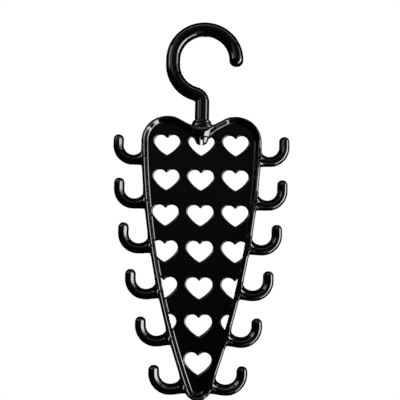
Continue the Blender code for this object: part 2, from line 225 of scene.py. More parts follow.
lobe = (LOBE_SPREAD, BOSS_TOP_Z - LOBE_DROP)
side_reach = SIDE_RADIUS - LOBE_RADIUS
side = (lobe[0] - side_reach * math.cos(SIDE_START), lobe[1] - side_reach * math.sin(SIDE_START))
arm_angle = RIGHT_ANGLE + ARM_SLOPE
arm_head = (lobe[0] + LOBE_RADIUS * math.cos(arm_angle), lobe[1] + LOBE_RADIUS * math.sin(arm_angle))
arms_meet_z = arm_head[1] - arm_head[0] * math.tan(ARM_SLOPE)


def rack_outline():
    """The rack's outer edge, clockwise from the notch between the lobes."""
    notch = (0.0, arms_meet_z + NOTCH_RADIUS / math.cos(ARM_SLOPE))
    tip = (0.0, side[1] - math.sqrt((SIDE_RADIUS - TIP_RADIUS) ** 2 - side[0] ** 2))
    side_end = math.atan2(tip[1] - side[1], -side[0])
    half = arc(notch, NOTCH_RADIUS, -RIGHT_ANGLE, -RIGHT_ANGLE + ARM_SLOPE, OUTLINE_STEP)
    steps = round(math.dist(half[-1], arm_head) / OUTLINE_STEP)
    half += between(half[-1], arm_head, [index / steps for index in range(1, steps)])
    half += arc(lobe, LOBE_RADIUS, arm_angle, SIDE_START, OUTLINE_STEP)
    half += arc(side, SIDE_RADIUS, SIDE_START, side_end, OUTLINE_STEP)[1:]
    half += arc(tip, TIP_RADIUS, side_end, -RIGHT_ANGLE, OUTLINE_STEP)[1:]
    return half + [(-x, z) for x, z in reversed(half[1:-1])]


def half_width(height):
    """Half of the rack's outer width at a height along its side arcs."""
    return side[0] + math.sqrt(SIDE_RADIUS**2 - (height - side[1]) ** 2)


def inset(outline, distance):
    """Moves a clockwise outline inwards by a distance and keeps its number of points."""
    moved = []
    for index, (x, z) in enumerate(outline):
        before_x, before_z = outline[index - 1]
        after_x, after_z = outline[(index + 1) % len(outline)]
        first = Vector((z - before_z, before_x - x)).normalized()
        second = Vector((after_z - z, x - after_x)).normalized()
        inwards = (first + second).normalized()
        reach = distance / inwards.dot(first)
        moved.append((x + inwards.x * reach, z + inwards.y * reach))
    return moved


def crest_side(bevel, steepest, inwards):
    """One side of the crest, as (in, depth) from its top: a round, a flat bevel and a round."""
    turn, width = bevel
    start, end = turn - RIGHT_ANGLE, steepest - RIGHT_ANGLE
    points = turn_in_steps((0.0, CREST_RADIUS), CREST_RADIUS, -RIGHT_ANGLE, start, CREST_STEPS)
    aside, down = points[-1]
    points += between((aside, down), (aside + width, down + width * math.tan(turn)), BEVEL_SHARES)
    aside, down = points[-1]
    centre = (aside - CREST_RADIUS * math.sin(turn), down + CREST_RADIUS * math.cos(turn))
    points += turn_in_steps(centre, CREST_RADIUS, start, end, BREAK_STEPS)[1:]
    return [(CREST_IN + inwards * aside, RIM_HALF_DEPTH - down) for aside, down in points]


inner_side = crest_side(INNER_BEVEL, INNER_TURN, 1)
flank_fall = inner_side[-1][1] - PANEL_HALF - FILLET_RADIUS * (1 - math.cos(INNER_TURN))
fillet_in = inner_side[-1][0] + flank_fall / math.tan(INNER_TURN) + FILLET_RADIUS * math.sin(INNER_TURN)


def rim_section():
    """The ridge's closed section, as (in from the outer edge, depth): edge, crest, flank and fillet."""
    outer_side = crest_side(OUTER_BEVEL, OUTER_TURN, -1)
    across, depth = outer_side[-1]
    outer = bend((0.0, 0.0), (0.0, depth - across * math.tan(OUTER_TURN)), (across, depth), OUTER_STEPS)
    foot = (fillet_in, PANEL_HALF + FILLET_RADIUS)
    fillet = arc(foot, FILLET_RADIUS, -RIGHT_ANGLE - INNER_TURN, -RIGHT_ANGLE - FILLET_END, FILLET_STEP)
    flank = between(inner_side[-1], fillet[0], FLANK_SHARES)
    front = outer + outer_side[-2:0:-1] + inner_side + flank + fillet + [(fillet_in + RIM_UNDERLAP, 0.0)]
    return front + [(across, -depth) for across, depth in reversed(front[1:-1])]


def mesh_object(name, points, edges=(), faces=()):
    """Links an object with a mesh made of plain points, edges and faces."""
    mesh = bpy.data.meshes.new(name)
    mesh.from_pydata(points, edges, faces)
    made = bpy.data.objects.new(name, mesh)
    bpy.context.scene.collection.objects.link(made)
    return made


def ring_edges(count):
    """The edges of a closed ring of points."""
    return [(index, (index + 1) % count) for index in range(count)]


def start_tree(name, inputs):
    """An empty Geometry Nodes tree with named inputs."""
    tree = bpy.data.node_groups.new(name, "GeometryNodeTree")
    tree.interface.new_socket("Geometry", in_out="INPUT", socket_type="NodeSocketGeometry")
    for label, kind in inputs:
        tree.interface.new_socket(label, in_out="INPUT", socket_type=kind)
    tree.interface.new_socket("Geometry", in_out="OUTPUT", socket_type="NodeSocketGeometry")
    return tree, tree.nodes.new("NodeGroupInput")


def end_tree(tree, given, geometry):
    """Ends a tree in smooth shading, Realize Instances and Set Material."""
    smooth = add_node(tree, "GeometryNodeSetShadeSmooth")
    realize = add_node(tree, "GeometryNodeRealizeInstances")
    paint = add_node(tree, "GeometryNodeSetMaterial")
    result = tree.nodes.new("NodeGroupOutput")
    tree.links.new(geometry, smooth.inputs["Geometry"])
    tree.links.new(smooth.outputs["Geometry"], realize.inputs["Geometry"])
    tree.links.new(realize.outputs["Geometry"], paint.inputs["Geometry"])
    tree.links.new(given.outputs["Material"], paint.inputs["Material"])
    tree.links.new(paint.outputs["Geometry"], result.inputs["Geometry"])


def run_tree(base, tree, helper=None, **values):
    """Runs a tree on an object, keeps the result as its plain mesh and removes a helper object."""
    step = base.modifiers.new(tree.name, "NODES")
    step.node_group = tree
    for item in tree.interface.items_tree:
        key = item.name.replace(" ", "_").lower()
        if item.in_out == "INPUT" and key in values:
            step[item.identifier] = values[key]
    keep_result(base)
    if helper:
        bpy.data.objects.remove(helper)
    return base


def keep_result(made):
    """Replaces an object's mesh by what its modifiers make of it, and removes them."""
    graph = bpy.context.evaluated_depsgraph_get()
    made.data = bpy.data.meshes.new_from_object(made.evaluated_get(graph))
    made.modifiers.clear()


def sweep_tree():
    """Sweeps a section along a path of edges; each point's share sets the section's size there."""
    tree, given = start_tree("section along a path", (
        ("Section", "NodeSocketObject"),
        ("Front", "NodeSocketVector"),
        ("Material", "NodeSocketMaterial"),
    ))
    link = tree.links.new
    path = add_node(tree, "GeometryNodeMeshToCurve")
    share = add_node(tree, "GeometryNodeInputNamedAttribute", data_type="FLOAT", Name="share")
    facing = add_node(tree, "GeometryNodeSetCurveNormal", mode="FREE")
    section = add_node(tree, "GeometryNodeObjectInfo")
    ring = add_node(tree, "GeometryNodeMeshToCurve")
    skin = add_node(tree, "GeometryNodeCurveToMesh", **{"Fill Caps": True})
    link(given.outputs["Geometry"], path.inputs["Mesh"])
    link(path.outputs["Curve"], facing.inputs["Curve"])
    link(given.outputs["Front"], facing.inputs["Normal"])
    link(given.outputs["Section"], section.inputs["Object"])
    link(section.outputs["Geometry"], ring.inputs["Mesh"])
    link(facing.outputs["Curve"], skin.inputs["Curve"])
    link(ring.outputs["Curve"], skin.inputs["Profile Curve"])
    link(share.outputs["Attribute"], skin.inputs["Scale"])
    end_tree(tree, given, skin.outputs["Mesh"])
    return tree


def recalculate(made):
    """Merges doubled points and turns every face of a closed mesh outwards."""
    form = bmesh.new()
    form.from_mesh(made.data)
    bmesh.ops.remove_doubles(form, verts=form.verts, dist=MERGE_DISTANCE)
    bmesh.ops.recalc_face_normals(form, faces=form.faces)
    form.to_mesh(made.data)
    form.free()


section_along_path = sweep_tree()
FRONT = (0.0, -1.0, 0.0)


def sweep(name, path, edges, section, material, shares=None):
    """Sweeps a closed section of (aside, depth) pairs along points (x, z)."""
    made = mesh_object(name, [(x, 0.0, z) for x, z in path], edges)
    sizes = made.data.attributes.new("share", "FLOAT", "POINT")
    sizes.data.foreach_set("value", shares or [1.0] * len(path))
    points = [(depth, aside, 0.0) for aside, depth in section]
    guide = mesh_object("section", points, ring_edges(len(points)))
    run_tree(made, section_along_path, guide, section=guide, front=FRONT, material=material)
    recalculate(made)
    return made


outline = rack_outline()
rim = sweep("rim", outline, ring_edges(len(outline)), rim_section(), rack_plastic)

# The rack's panel.
# A flat web 3.6 mm thick inside the rim, of the same shot of plastic, pierced by three columns of
# heart-shaped holes with round edges. The rim's inner edge cuts off the holes that run into it.
COLUMN_PITCH = 30.0 * MM
ROW_PITCH = 30.9 * MM
ROW_COUNT = 7
FIRST_ROW_DROP = 15.7 * MM
HEART_LOBE_RADIUS = 5.7 * MM
HEART_LOBE_SPREAD = 5.4 * MM
HEART_DROP = 12.1 * MM
HEART_SIDE_RADIUS = 27.0 * MM
HEART_CUSP_WIDTH = 1.2 * MM
HEART_EDGE_ROUND = 1.9 * MM
HEART_EDGE_END = math.radians(78)  # how far the round turns, to the front and to the back
HEART_OVERRUN = (2.5 * MM, 1.2 * MM)  # how far the cutter runs on, forward and outwards
WEB_UNDERLAP = 0.6 * MM  # how far the web reaches into the rim's fillet
LEAST_OPEN_SHARE = 0.5  # a hole is there where more than this share of a lobe's radius opens
HEART_LOBE_STEPS = 22
HEART_SIDE_STEPS = 15
HEART_EDGE_STEPS = 6


def loft(name, rings, material):
    """Skins rings of equally many (x, y, z) points and closes both ends flat."""
    size = len(rings[0])
    points = [point for ring in rings for point in ring]
    faces = [tuple(range(size)), tuple(range(len(points) - size, len(points)))]
    for row in range(len(rings) - 1):
        for side_index in range(size):
            after = (side_index + 1) % size
            low, high = row * size, (row + 1) * size
            faces.append((low + side_index, low + after, high + after, high + side_index))
    made = mesh_object(name, points, (), faces)
    made.data.materials.append(material)
    recalculate(made)
    made.data.shade_smooth()
    return made


def plate(name, edge, half_depth, material):
    """A flat plate inside an edge of (x, z) points, in triangles, which cuts leave without holes."""
    made = loft(name, [[(x, y, z) for x, z in edge] for y in (-half_depth, half_depth)], material)
    made.modifiers.new("triangles", "TRIANGULATE")
    keep_result(made)
    return made


def combine(target, operation, tool):
    """Adds or cuts one closed mesh and removes it."""
    step = target.modifiers.new(operation, "BOOLEAN")
    step.object = tool
    step.operation = operation
    step.solver = "MANIFOLD"
    keep_result(target)
    bpy.data.objects.remove(tool)


def heart_side_centre():
    """The centre of a heart's long side arc, which leaves its lobe smoothly and ends at its point."""
    heart_lobe = Vector((HEART_LOBE_SPREAD, 0.0))
    point = Vector((0.0, -HEART_DROP))
    from_lobe = HEART_SIDE_RADIUS - HEART_LOBE_RADIUS
    apart = (point - heart_lobe).length
    along = (apart**2 + from_lobe**2 - HEART_SIDE_RADIUS**2) / (2 * apart)
    aside = math.sqrt(from_lobe**2 - along**2)
    ahead = (point - heart_lobe) / apart
    return heart_lobe + ahead * along + Vector((ahead.y, -ahead.x)) * aside


def heart_outline(grow):
    """A heart about the middle of its two lobes' centres, grown outwards by a distance."""
    centre = heart_side_centre()
    lobe_radius = HEART_LOBE_RADIUS + grow
    side_radius = HEART_SIDE_RADIUS + grow
    cusp = math.acos((HEART_CUSP_WIDTH / 2 - HEART_LOBE_SPREAD) / lobe_radius)
    leave = math.atan2(-centre.y, HEART_LOBE_SPREAD - centre.x)
    point = -math.acos(-centre.x / side_radius)
    half = [(0.0, lobe_radius * math.sin(cusp))]
    half += turn_in_steps((HEART_LOBE_SPREAD, 0.0), lobe_radius, cusp, leave, HEART_LOBE_STEPS)
    half += turn_in_steps(centre, side_radius, leave, point, HEART_SIDE_STEPS)[1:]
    return half + [(-x, z) for x, z in reversed(half[1:-1])]


def heart_cutter():
    """One heart-shaped cutter that leaves round edges on the web."""
    layers = []
    for step in range(-HEART_EDGE_STEPS, HEART_EDGE_STEPS + 1):
        turn = HEART_EDGE_END * step / HEART_EDGE_STEPS
        layers.append((PANEL_HALF * math.sin(turn), HEART_EDGE_ROUND * (1 - math.cos(turn))))
    depth, grow = layers[-1]
    out = (depth + HEART_OVERRUN[0], grow + HEART_OVERRUN[1])
    layers = [(-out[0], out[1])] + layers + [out]
    rings = [[(x, depth, z) for x, z in heart_outline(grow)] for depth, grow in layers]
    return loft("heart", rings, rack_plastic)


def heart_places():
    """The middles of the hearts that open clear of the rim, row by row."""
    places = []
    for row in range(ROW_COUNT):
        height = BOSS_TOP_Z - FIRST_ROW_DROP - ROW_PITCH * row
        room = half_width(height) - RIM_WIDTH
        for column in (-1, 0, 1):
            nearest = abs(column) * COLUMN_PITCH - HEART_LOBE_SPREAD - HEART_LOBE_RADIUS
            if room > nearest + HEART_LOBE_RADIUS * LEAST_OPEN_SHARE:
                places.append((column * COLUMN_PITCH, 0.0, height))
    return places


def copies_tree():
    """Sets a copy of an object at every point of a mesh."""
    tree, given = start_tree("copies at points", (
        ("Copied", "NodeSocketObject"),
        ("Material", "NodeSocketMaterial"),
    ))
    source = add_node(tree, "GeometryNodeObjectInfo")
    copies = add_node(tree, "GeometryNodeInstanceOnPoints")
    tree.links.new(given.outputs["Geometry"], copies.inputs["Points"])
    tree.links.new(given.outputs["Copied"], source.inputs["Object"])
    tree.links.new(source.outputs["Geometry"], copies.inputs["Instance"])
    end_tree(tree, given, copies.outputs["Instances"])
    return tree


copies_at_points = copies_tree()


def repeat(name, copied, places, material):
    """One mesh of copies of an object at the given places; the object itself is removed."""
    made = mesh_object(name, places)
    return run_tree(made, copies_at_points, copied, copied=copied, material=material)


web_edge = inset(outline, fillet_in - WEB_UNDERLAP)
rack = plate("rack_moulding", web_edge, PANEL_HALF, rack_plastic)
combine(rack, "UNION", rim)
hearts = repeat("hearts", heart_cutter(), heart_places(), rack_plastic)
inside_rim = plate("inside the rim", inset(outline, RIM_WIDTH), 2 * RIM_HALF_DEPTH, rack_plastic)
combine(hearts, "INTERSECT", inside_rim)
combine(rack, "DIFFERENCE", hearts)

# The rack's side hooks.
# Twelve upturned hooks of the same shot, six a side, each a quarter turn of rod on a flared root
# that ends along the rim's crest. The rod is round outside and slopes to a thin edge inside the U.
HOOK_COUNT = 6
HOOK_PITCH = 38.5 * MM
FIRST_HOOK_DROP = 19.5 * MM
HOOK_RADIUS = 13.2 * MM
HOOK_ROD = 9.1 * MM
HOOK_STANDOFF = 7.5 * MM
TOP_HOOK_PULL = 0.8 * MM
HOOK_RISE = 4.9 * MM
HOOK_RISE_SHARES = (1.0, 1.0, 0.92, 0.7, 0.5, 0.36)
INNER_SLOPE = math.radians(40)
BROW_REACH = 1.15 * MM  # the slope starts this far inside the rod's middle line
BROW_FALL = 0.4 * MM
THIN_EDGE_WIDTH = 1.7 * MM  # over this width the slope bends down to the thin edge
THIN_EDGE_RUN = 0.8 * MM  # how far the slope is carried on to the bend's corner
THIN_EDGE_HALF = 0.5 * MM  # half of the thin edge's depth
ROOT_LIFT = 1.7 * MM  # how much a root's underside rises towards the rim
ROOT_LIFT_SHARES = (0.0, 0.1, 0.4, 0.8, 1.0, 1.0)
ROOT_STEEPEST = math.radians(80)  # how far round the U's inner arc the root follows it
ROOT_FLARE = 1.1 * MM
ROOT_FILLET = 5.5 * MM
FILL_SHARE = 0.25  # a corner is filled by this share of its fillet's width
FILL_RUN = 1.5 * MM  # the filling starts at the crest and is whole this far outside it
SIDE_FILL_SHARE = 0.25  # what a root's top and underside get of it
HOOK_SECTION_STEP = 0.7 * MM
HOOK_STEP = 1.0 * MM
ROOT_STEPS = 16
BROW_STEPS = 4
THIN_EDGE_STEPS = 5
HOOK_END_STEPS = 8
POLE_GAP_SHARE = 0.3  # a round end stops this share of a step short of its pole


def hook_section():
    """A side hook's section as (aside, depth): round outside, sloping to a thin edge inside the U."""
    half = HOOK_ROD / 2
    round_half = arc((0.0, 0.0), half, RIGHT_ANGLE, 3 * RIGHT_ANGLE, HOOK_SECTION_STEP)
    slant = math.tan(INNER_SLOPE)
    brow = (BROW_REACH, half - BROW_FALL)
    foot = (half - THIN_EDGE_WIDTH, brow[1] - (half - THIN_EDGE_WIDTH - brow[0]) * slant)
    corner = (foot[0] + THIN_EDGE_RUN, foot[1] - THIN_EDGE_RUN * slant)
    slope = bend((0.0, half), (brow[0] - BROW_FALL / slant, half), brow, BROW_STEPS)
    slope += between(brow, foot, FLANK_SHARES + (1.0,))
    slope += bend(foot, corner, (half, THIN_EDGE_HALF), THIN_EDGE_STEPS)[1:]
    section = [(aside, -depth) for aside, depth in slope[1:]]
    return round_half + section + [(aside, depth) for aside, depth in reversed(slope[1:])]


def hook_place(level):
    """The arc centre of the right-hand hook at a level, counted from the top."""
    height = BOSS_TOP_Z - FIRST_HOOK_DROP - HOOK_PITCH * level
    standoff = HOOK_STANDOFF - (TOP_HOOK_PULL if level == 0 else 0)
    return half_width(height) + standoff, height


def round_end(steps):
    """A round end as shares of its radius, (onwards, across), which stop short of the pole."""
    turns = [RIGHT_ANGLE * step / (steps + POLE_GAP_SHARE) for step in range(1, steps + 1)]
    return [(math.sin(turn), math.cos(turn)) for turn in turns]


def hook_rings(level):
    """Rings of a right-hand hook: its root, its U, the straight rise and the round end."""
    centre_x, centre_z = hook_place(level)
    section = hook_section()
    inner = HOOK_RADIUS - HOOK_ROD / 2
    underside = centre_z - HOOK_RADIUS - HOOK_ROD / 2
    lift = ROOT_LIFT * ROOT_LIFT_SHARES[level]
    rings = []
    for step in range(ROOT_STEPS):
        share = 1 - step / ROOT_STEPS
        back = (centre_x - half_width(centre_z) + CREST_IN) * share
        upper = centre_z - math.sqrt(inner**2 - min(back, inner * math.sin(ROOT_STEEPEST)) ** 2)
        lower = underside + lift * math.sin(RIGHT_ANGLE * share) ** 2
        middle, stretch = (upper + lower) / 2, (upper - lower) / HOOK_ROD
        flare = 1 + ROOT_FLARE / (HOOK_ROD / 2) * share**2
        ring = []
        for aside, depth in section:
            height = middle + aside * stretch
            crest = half_width(height) - CREST_IN
            ring.append((centre_x + (crest - centre_x) * share, depth * flare, height))
        rings.append(ring)
    stations = []
    turns = round(HOOK_RADIUS * RIGHT_ANGLE / HOOK_STEP)
    for step in range(turns + 1):
        angle = RIGHT_ANGLE * (step / turns - 1)
        stations.append((centre_x, centre_z, angle, 1.0))
    rise = HOOK_RISE * HOOK_RISE_SHARES[level]
    for share in (0.5, 1.0):
        stations.append((centre_x, centre_z + rise * share, 0.0, 1.0))
    for onwards, size in round_end(HOOK_END_STEPS):
        stations.append((centre_x, centre_z + rise + HOOK_ROD / 2 * onwards, 0.0, size))
    for x, z, angle, size in stations:
        ring = []
        for aside, depth in section:
            reach = HOOK_RADIUS - aside * size
            ring.append((x + reach * math.cos(angle), depth * size, z + reach * math.sin(angle)))
        rings.append(ring)
    return rings


def mirror_tree():
    """Adds the mirror image across the hanger's middle."""
    tree, given = start_tree("both sides", (("Material", "NodeSocketMaterial"),))
    mirrored = add_node(tree, "GeometryNodeTransform", Scale=(-1.0, 1.0, 1.0))
    turned_out = add_node(tree, "GeometryNodeFlipFaces")
    both = add_node(tree, "GeometryNodeJoinGeometry")
    tree.links.new(given.outputs["Geometry"], mirrored.inputs["Geometry"])
    tree.links.new(mirrored.outputs["Geometry"], turned_out.inputs["Mesh"])
    tree.links.new(turned_out.outputs["Mesh"], both.inputs["Geometry"])
    tree.links.new(given.outputs["Geometry"], both.inputs["Geometry"])
    end_tree(tree, given, both.outputs["Geometry"])
    return tree


def nearness(made):
    """A search tree over a mesh's surface."""
    corners = [vertex.co.copy() for vertex in made.data.vertices]
    return BVHTree.FromPolygons(corners, [tuple(face.vertices) for face in made.data.polygons])


def beyond_crest(place):
    """How much a root is filled: nothing inside the ridge's crest, most on the front and the back."""
    outside = (abs(place.x) - half_width(place.z) + CREST_IN) / FILL_RUN
    forward = SIDE_FILL_SHARE + (1 - SIDE_FILL_SHARE) * (2 * place.y / HOOK_ROD) ** 2
    return min(1.0, max(0.0, outside)) * min(1.0, forward)


def fill_corner(target, first, second, width, share_at=lambda place: 1.0):
    """Rounds the hollow corner where two forms meet: points near both are pushed outwards."""
    mesh = target.data
    moved = []
    for vertex in mesh.vertices:
        place = vertex.co.copy()
        to_first = first.find_nearest(place, width)[3]
        to_second = second.find_nearest(place, width)[3]
        if to_first is not None and to_second is not None:
            away = max(to_first, to_second) / width
            place += vertex.normal * (share_at(place) * FILL_SHARE * width * (1 - away) ** 2)
        moved.append(place)
    for vertex, place in zip(mesh.vertices, moved):
        vertex.co = place
    mesh.update()


both_sides = mirror_tree()
side_hooks = loft("side hooks", hook_rings(0), rack_plastic)
for level in range(1, HOOK_COUNT):
    combine(side_hooks, "UNION", loft("side hook", hook_rings(level), rack_plastic))
run_tree(side_hooks, both_sides, material=rack_plastic)
recalculate(side_hooks)
rim_form, hooks_form = nearness(rack), nearness(side_hooks)
combine(rack, "UNION", side_hooks)
fill_corner(rack, rim_form, hooks_form, ROOT_FILLET, beyond_crest)

# The pin marks.
# A shallow round dent in the front of the ridge at each hook's root, left by the pins that push the
# moulding out of its mould.
MARK_WIDTH = 3.2 * MM
MARK_DEPTH = 0.5 * MM
MARK_DROP = 11.0 * MM
MARK_IN = 2.0 * MM


def mark_cutter():
    """The round end of a pin, larger than its dent and centred on the ridge's front."""
    radius = (MARK_WIDTH**2 / 4 + MARK_DEPTH**2) / (2 * MARK_DEPTH)
    form = bmesh.new()
    place = Matrix.Translation((0.0, MARK_DEPTH - RIM_HALF_DEPTH - radius, 0.0))
    bmesh.ops.create_icosphere(form, subdivisions=4, radius=radius, matrix=place)
    made = mesh_object("pin", [])
    form.to_mesh(made.data)
    form.free()
    return made


marks = []
for level in range(HOOK_COUNT):
    height = hook_place(level)[1] - MARK_DROP
    across = half_width(height) - MARK_IN
    marks += [(across, 0.0, height), (-across, 0.0, height)]
combine(rack, "DIFFERENCE", repeat("pin marks", mark_cutter(), marks, rack_plastic))

# The rack's boss.
# A sleeve in the notch between the lobes, of the same shot, bored through for the spigot. The rim's
# ridge climbs over its front and back, under its top ring. Below it the web is cleared for the barb.
BOSS_DIAMETER = 17.1 * MM
BOSS_ROUND = 0.8 * MM
RING_LENGTH = 3.2 * MM
RING_ROUND = 0.6 * MM
RING_START = -0.6 * RIGHT_ANGLE  # where the ring's lower round starts
WAIST_IN = 1.1 * MM
WAIST_PULL = 0.1 * MM
RIDGE_OUT = 0.05 * MM  # how far the ridge's crest stands out of the sleeve
BASE_IN = 0.9 * MM
HOLD_SHARE = 0.16  # up to this share of the way from crest to ring, the wall stays with the crest
HALFWAY_SHARE = 0.5  # here it is halfway in to the waist
TURN_SHARE = 0.86  # and here it turns out again, to the ring
VALLEY_ROUND = NOTCH_RADIUS / 4  # rounds the valley where the crests of the two arms meet
FACE_TURN = math.radians(33)  # a flat face's middle, aside from the front
FACE_HALF = math.radians(18)  # half of the angle that a face takes
SPIGOT_DIAMETER = 9.8 * MM
BARB_DIAMETER = 12.6 * MM
BARB_CLEARANCE = 0.8 * MM
BOSS_FILLET = 4.6 * MM
CUT_OVERRUN = 1.0 * MM
BOSS_SIDES = 112
TURNED_SIDES = 72
CLIMB_STEPS = 9
FALL_STEPS = 6
WAIST_STEPS = 8
BOSS_ROUND_STEP = 0.2 * MM
RING_STEP = 0.15 * MM
SHARP_ANGLE = math.radians(38)


def turned(name, profile, material):
    """Revolves a profile of (radius, height) pairs about the Z axis and closes both ends flat."""
    rings = []
    for radius, height in profile:
        circle = turn_in_steps((0.0, 0.0), radius, 0.0, math.tau, TURNED_SIDES)[:-1]
        rings.append([(x, y, height) for x, y in circle])
    return loft(name, rings, material)


def faced(angle):
    """How far a circle is cut back at an angle by the flat faces beside its front and its back."""
    turn = abs(abs(math.remainder(angle, math.tau)) - RIGHT_ANGLE) - FACE_TURN
    return min(1.0, math.cos(FACE_HALF) / math.cos(turn))


def ridge_height(aside):
    """How high the rim's crest line runs at a distance from the stem's axis."""
    valley = arms_meet_z - CREST_IN / math.cos(ARM_SLOPE)
    climb = math.hypot(aside * math.tan(ARM_SLOPE), VALLEY_ROUND)
    return min(valley + climb, BOSS_TOP_Z - RING_LENGTH - RING_ROUND)


def boss_rows():
    """The boss's outside, bottom up: radius, height, and its shares of the ridge's climb and the faces."""
    radius = BOSS_DIAMETER / 2
    crest, waist, base = radius + RIDGE_OUT, radius - WAIST_IN, radius - BASE_IN
    crest_z, ring_z, wall_z = ridge_height(0.0), BOSS_TOP_Z - RING_LENGTH, BOSS_BASE_Z + BOSS_ROUND
    rows = [(radius / 2, BOSS_BASE_Z, 0.0, 1.0)]
    for across, height in arc((base - BOSS_ROUND, wall_z), BOSS_ROUND, -RIGHT_ANGLE, 0.0, BOSS_ROUND_STEP):
        rows.append((across, height, 0.0, 1.0))
    for step in range(1, CLIMB_STEPS):
        share = step / CLIMB_STEPS
        rows.append((base + (crest - base) * share, wall_z + (crest_z - wall_z) * share, share, 1.0))
    fall = bend((crest, 0.0), (crest, HOLD_SHARE), ((crest + waist) / 2, HALFWAY_SHARE), FALL_STEPS)
    turn = (waist - WAIST_PULL, TURN_SHARE)
    fall += bend(fall[-1], turn, (radius - RING_ROUND, 1.0), WAIST_STEPS)[1:]
    for across, share in fall:
        rows.append((across, crest_z + (ring_z - crest_z) * share, 1 - share, (1 - share) ** 2))
    underside, top = ring_z + RING_ROUND, BOSS_TOP_Z - BOSS_ROUND
    ring = arc((radius - RING_ROUND, underside), RING_ROUND, RING_START, 0.0, RING_STEP)
    ring += arc((radius - BOSS_ROUND, top), BOSS_ROUND, 0.0, RIGHT_ANGLE, BOSS_ROUND_STEP)
    rows += [(across, height, 0.0, 0.0) for across, height in ring]
    return rows + [(radius / 2, BOSS_TOP_Z, 0.0, 0.0)]


def boss_rings():
    """The boss's rings: its rows turned round, with their faces and the ridge's climb."""
    rings = []
    for radius, height, climb, face in boss_rows():
        ring = []
        for index in range(BOSS_SIDES):
            angle = math.tau * index / BOSS_SIDES
            reach = radius * (1 - face * (1 - faced(angle)))
            x, y = reach * math.cos(angle), reach * math.sin(angle)
            ring.append((x, y, height + climb * (ridge_height(x) - ridge_height(0.0))))
        rings.append(ring)
    return rings


boss = loft("boss", boss_rings(), rack_plastic)
rim_form, boss_form = nearness(rack), nearness(boss)
combine(rack, "UNION", boss)
fill_corner(rack, rim_form, boss_form, BOSS_FILLET)
for name, radius, low_z, high_z in (
    ("barb room", BARB_DIAMETER / 2 + BARB_CLEARANCE, BARB_TIP_Z - CUT_OVERRUN, BOSS_BASE_Z),
    ("bore", SPIGOT_DIAMETER / 2 + SWIVEL_CLEARANCE, BARB_TIP_Z, BOSS_TOP_Z + CUT_OVERRUN),
):
    combine(rack, "DIFFERENCE", turned(name, [(radius, low_z), (radius, high_z)], rack_plastic))


def even_shading(made):
    """Smooth shading that keeps real edges crisp and flat faces flat."""
    made.data.shade_smooth()
    made.data.set_sharp_from_angle(angle=SHARP_ANGLE)
    flats = made.modifiers.new("flat faces first", "WEIGHTED_NORMAL")
    flats.keep_sharp = True
    flats.weight = 100
    keep_result(made)


even_shading(rack)
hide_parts("hook_rack")
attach(rack, "rack")

# The rail hook.
# A second moulding: a round rod bent like a question mark, with a turned shoulder that sits on the
# boss, a spigot inside it and a split barb that snapped through it and shows underneath.
ROD_DIAMETER = 12.8 * MM
LOOP_RADIUS = 28.2 * MM
LOOP_OFFSET = 1.7 * MM
LOOP_STRETCH = 5.0 * MM
NECK_RADIUS = 8.0 * MM
SHOULDER_DIAMETER = 16.9 * MM
SHOULDER_HEIGHT = 3.0 * MM
SHOULDER_ROUND = 1.9 * MM
SLOT_WIDTH = 1.7 * MM
SLOT_LENGTH = 14.0 * MM
SHOULDER_EDGE = 0.5 * MM
CATCH_CHAMFER = 0.4 * MM
PRONG_ROUND = 1.3 * MM
PRONG_ROUND_SHARE = 0.4  # the corners take at most this share of a prong's thickness
TIP_FLAT_SHARE = 0.28  # the barb's end, as shares of its radius
TIP_TURN_SHARE = 0.62
TIP_WIDE_SHARE = 0.8
TIP_RISE_SHARE = 0.4  # and as shares of its length
BULGE_SHARE = 0.8
PRONG_OVERLAP = 0.5 * MM  # how far a prong reaches into the solid spigot
ROD_STEP = 0.9 * MM
ROD_SECTION_STEP = 0.8 * MM
ROD_END_STEPS = 12
SHOULDER_EDGE_STEP = 0.15 * MM
SHOULDER_ROUND_STEP = 0.25 * MM
PRONG_STEPS = 16
PRONG_CORNER_STEPS = 6
TIP_STEPS = 10
BARB_STEPS = 8
HOOK_FLOW = 70.0
HOOK_SCUFFS = 300.0
hook_plastic = moulded_plastic("hook plastic", HOOK_FLOW, HOOK_SCUFFS)
loop_z = ROD_DIAMETER / 2 - LOOP_RADIUS
lower_z = loop_z - LOOP_STRETCH
neck_z = lower_z - math.sqrt((LOOP_RADIUS + NECK_RADIUS) ** 2 - (NECK_RADIUS + LOOP_OFFSET) ** 2)
shoulder_base_z = BOSS_TOP_Z + SWIVEL_CLEARANCE
shoulder_top_z = shoulder_base_z + SHOULDER_HEIGHT
joining = math.atan2(lower_z - neck_z, LOOP_OFFSET + NECK_RADIUS)
rod_path = [(0.0, shoulder_top_z - SHOULDER_HEIGHT / 2)]
rod_path += arc((-NECK_RADIUS, neck_z), NECK_RADIUS, 0.0, joining, ROD_STEP)
rod_path += arc((LOOP_OFFSET, lower_z), LOOP_RADIUS, joining - math.pi, -math.pi, ROD_STEP)[1:]
rod_path += arc((LOOP_OFFSET, loop_z), LOOP_RADIUS, math.pi, 0.0, ROD_STEP)
rod_shares = [1.0] * len(rod_path)
end_x = rod_path[-1][0]
for onwards, size in round_end(ROD_END_STEPS):
    rod_path.append((end_x, loop_z - ROD_DIAMETER / 2 * onwards))
    rod_shares.append(size)
rod_section = arc((0.0, 0.0), ROD_DIAMETER / 2, 0.0, math.tau, ROD_SECTION_STEP)[:-1]
rod_edges = [(index, index + 1) for index in range(len(rod_path) - 1)]
rail_hook = sweep("rail_hook_moulding", rod_path, rod_edges, rod_section, hook_plastic, rod_shares)


